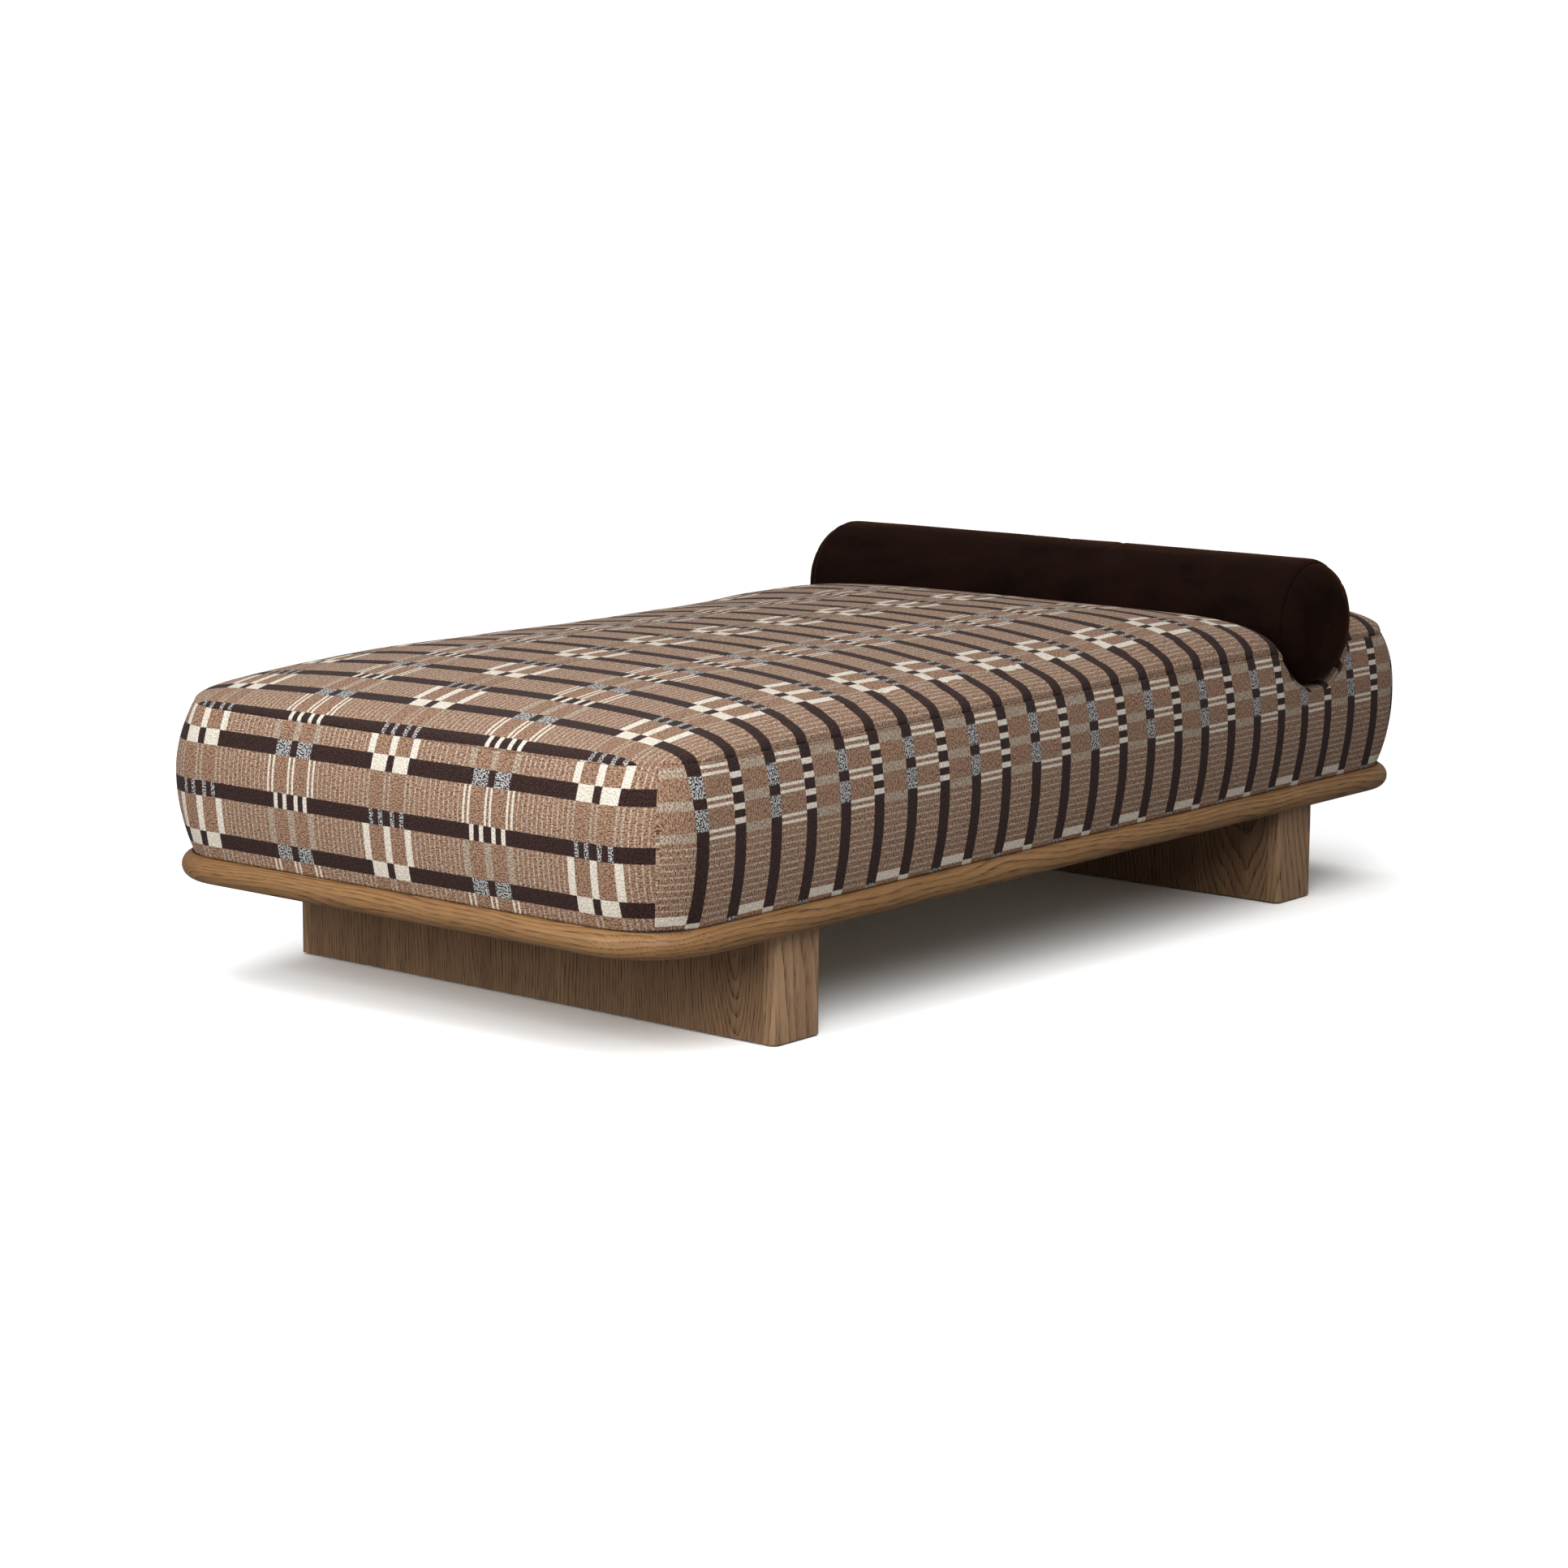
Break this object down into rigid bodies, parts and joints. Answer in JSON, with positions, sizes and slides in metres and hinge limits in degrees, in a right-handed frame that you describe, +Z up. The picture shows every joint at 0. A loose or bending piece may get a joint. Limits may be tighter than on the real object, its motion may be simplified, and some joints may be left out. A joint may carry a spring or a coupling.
{
  "type": "daybed",
  "caption": "Upholstered daybed: a crowned seat on an oak platform with two slab legs and a loose round bolster in a cross channel.",
  "frame": {"origin": "centre of the footprint on the floor", "axes": "+X along the daybed to the head end with the bolster, +Y across it, +Z up"},
  "size_m": [2.0829, 1.0669, 0.602],
  "materials": {
    "oak": "satin",
    "leg_veneer": "satin",
    "leg_end": "satin",
    "inner_timber": "unfinished",
    "plywood": "unfinished",
    "felt": "matte",
    "bolt_steel": "zinc plated",
    "webbing": "woven",
    "lining_cloth": "matte",
    "foam": "matte foam",
    "plaid_weave": "woven plaid",
    "bolster_velvet": "velvet",
    "zip_tape": "woven tape"
  },
  "bodies": {
    "daybed": {"foot_leg_outer_panel": "leg_veneer", "foot_leg_inner_panel": "leg_veneer", "foot_leg_near_end": "leg_end", "foot_leg_far_end": "leg_end", "foot_leg_top_rail": "inner_timber", "foot_leg_bottom_rail": "inner_timber", "head_leg_outer_panel": "leg_veneer", "head_leg_inner_panel": "leg_veneer", "head_leg_near_end": "leg_end", "head_leg_far_end": "leg_end", "head_leg_top_rail": "inner_timber", "head_leg_bottom_rail": "inner_timber", "floor_pads": "felt", "leg_bolts": "bolt_steel", "rail_foot": "oak", "rail_head": "oak", "rail_near": "oak", "rail_far": "oak", "corner_splines": "inner_timber", "ledger_strips": "inner_timber", "foot_bearer": "inner_timber", "centre_bearer": "inner_timber", "head_bearer": "inner_timber", "deck_panel_foot": "plywood", "deck_panel_head": "plywood", "dust_cover": "lining_cloth", "seat_bolts": "bolt_steel", "frame_board_near": "inner_timber", "frame_board_far": "inner_timber", "frame_board_foot": "inner_timber", "frame_board_head": "inner_timber", "frame_cross_rails": "inner_timber", "frame_corner_blocks": "inner_timber", "webbing_long": "webbing", "webbing_cross": "webbing", "foam_pad_near": "foam", "foam_pad_far": "foam", "foam_pad_foot": "foam", "foam_pad_head": "foam", "foam_main": "foam", "foam_cradle": "foam", "foam_head": "foam", "cover_main_top": "plaid_weave", "cover_head_top": "plaid_weave", "cover_channel": "plaid_weave", "cover_side_near": "plaid_weave", "cover_side_far": "plaid_weave", "cover_foot": "plaid_weave", "cover_head": "plaid_weave"},
    "bolster": {"bolster_core": "foam", "bolster_wadding": "foam", "bolster_cover": "bolster_velvet", "bolster_cap_near": "bolster_velvet", "bolster_cap_far": "bolster_velvet", "bolster_zip": "zip_tape"}
  },
  "joints": [
    {"name": "bolster_lift", "type": "slide", "parent": "daybed", "child": "bolster", "axis": [0, 0, 1], "range_m": [0, 0.25]}
  ]
}
